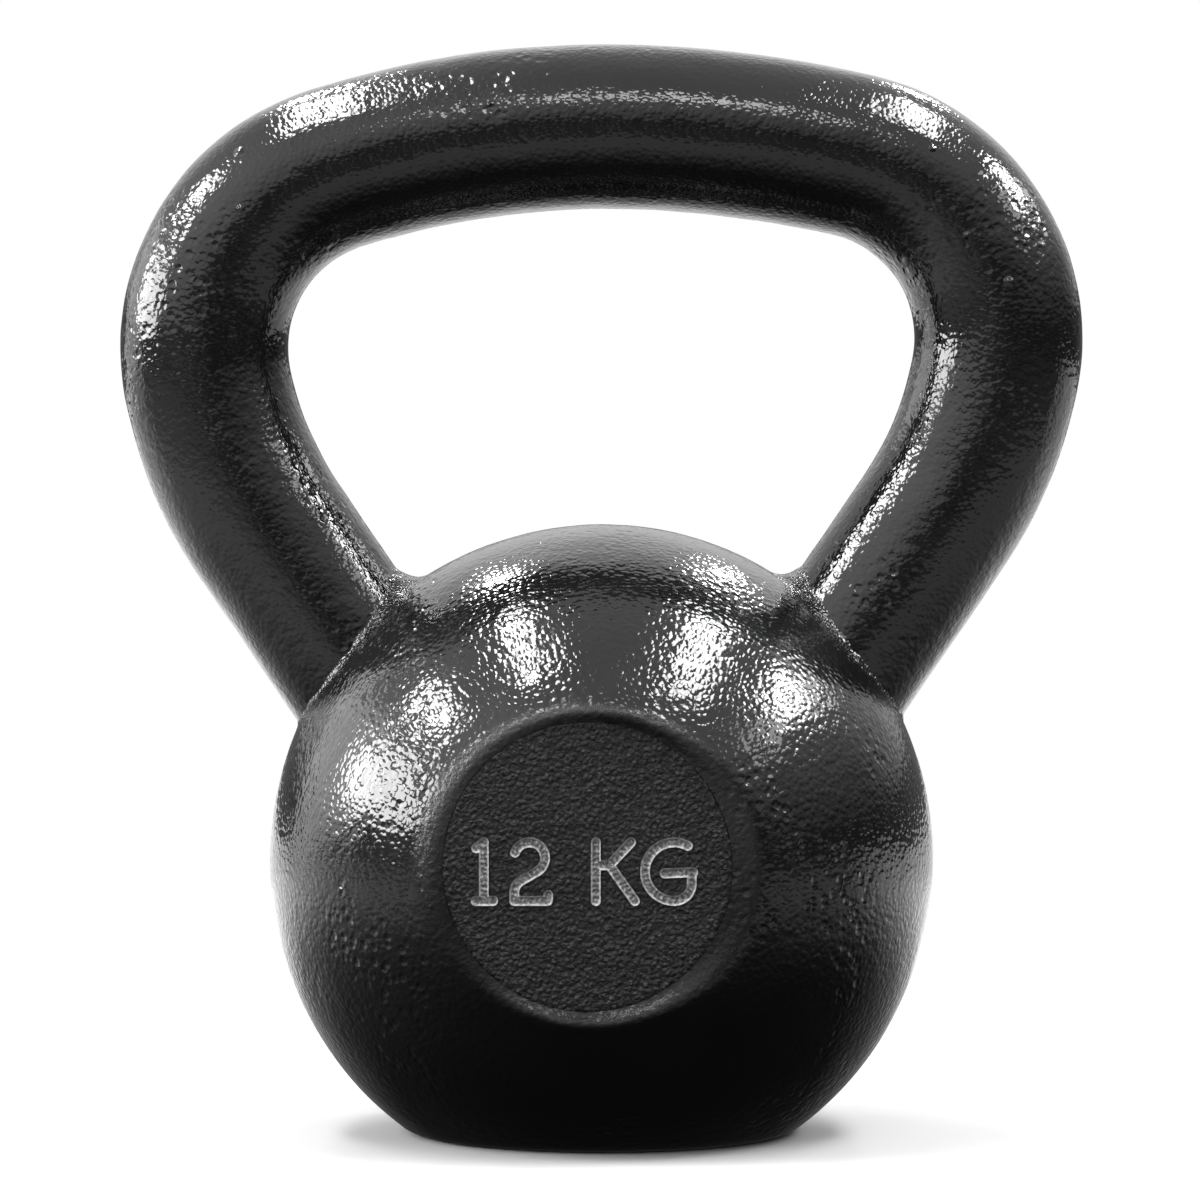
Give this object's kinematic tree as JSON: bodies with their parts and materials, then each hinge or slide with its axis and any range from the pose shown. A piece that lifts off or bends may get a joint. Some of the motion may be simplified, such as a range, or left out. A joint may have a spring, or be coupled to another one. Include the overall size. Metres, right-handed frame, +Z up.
{
  "type": "kettlebell",
  "caption": "Cast iron kettlebell: a solid ball with a flat foot, a looped bar handle set in its top, and a round plate with an engraved weight let into its front.",
  "frame": {"origin": "middle of the flat foot, on the floor plane, on the ball's upright axis", "axes": "+Z up through the ball to the grip, +X along the handle's width to the viewer's right when looking at the marked front, front facing -Y"},
  "size_m": [0.201, 0.1323, 0.2266],
  "materials": {
    "enamel": "glossy black stoving enamel with orange peel over a rough casting",
    "handle_enamel": "glossy black enamel, smoother than on the ball",
    "bead_enamel": "glossy black enamel over a lumpy bead",
    "rough_enamel": "semi-gloss black enamel over a coarse sand-cast face",
    "figure_lining": "dull pale grey, speckled"
  },
  "bodies": {
    "root": {"ball": "enamel", "handle": "handle_enamel", "left_foot_bead": "bead_enamel", "right_foot_bead": "bead_enamel", "marking_plate": "rough_enamel", "digit_one": "figure_lining", "digit_two": "figure_lining", "letter_k": "figure_lining", "letter_g": "figure_lining"}
  },
  "joints": []
}
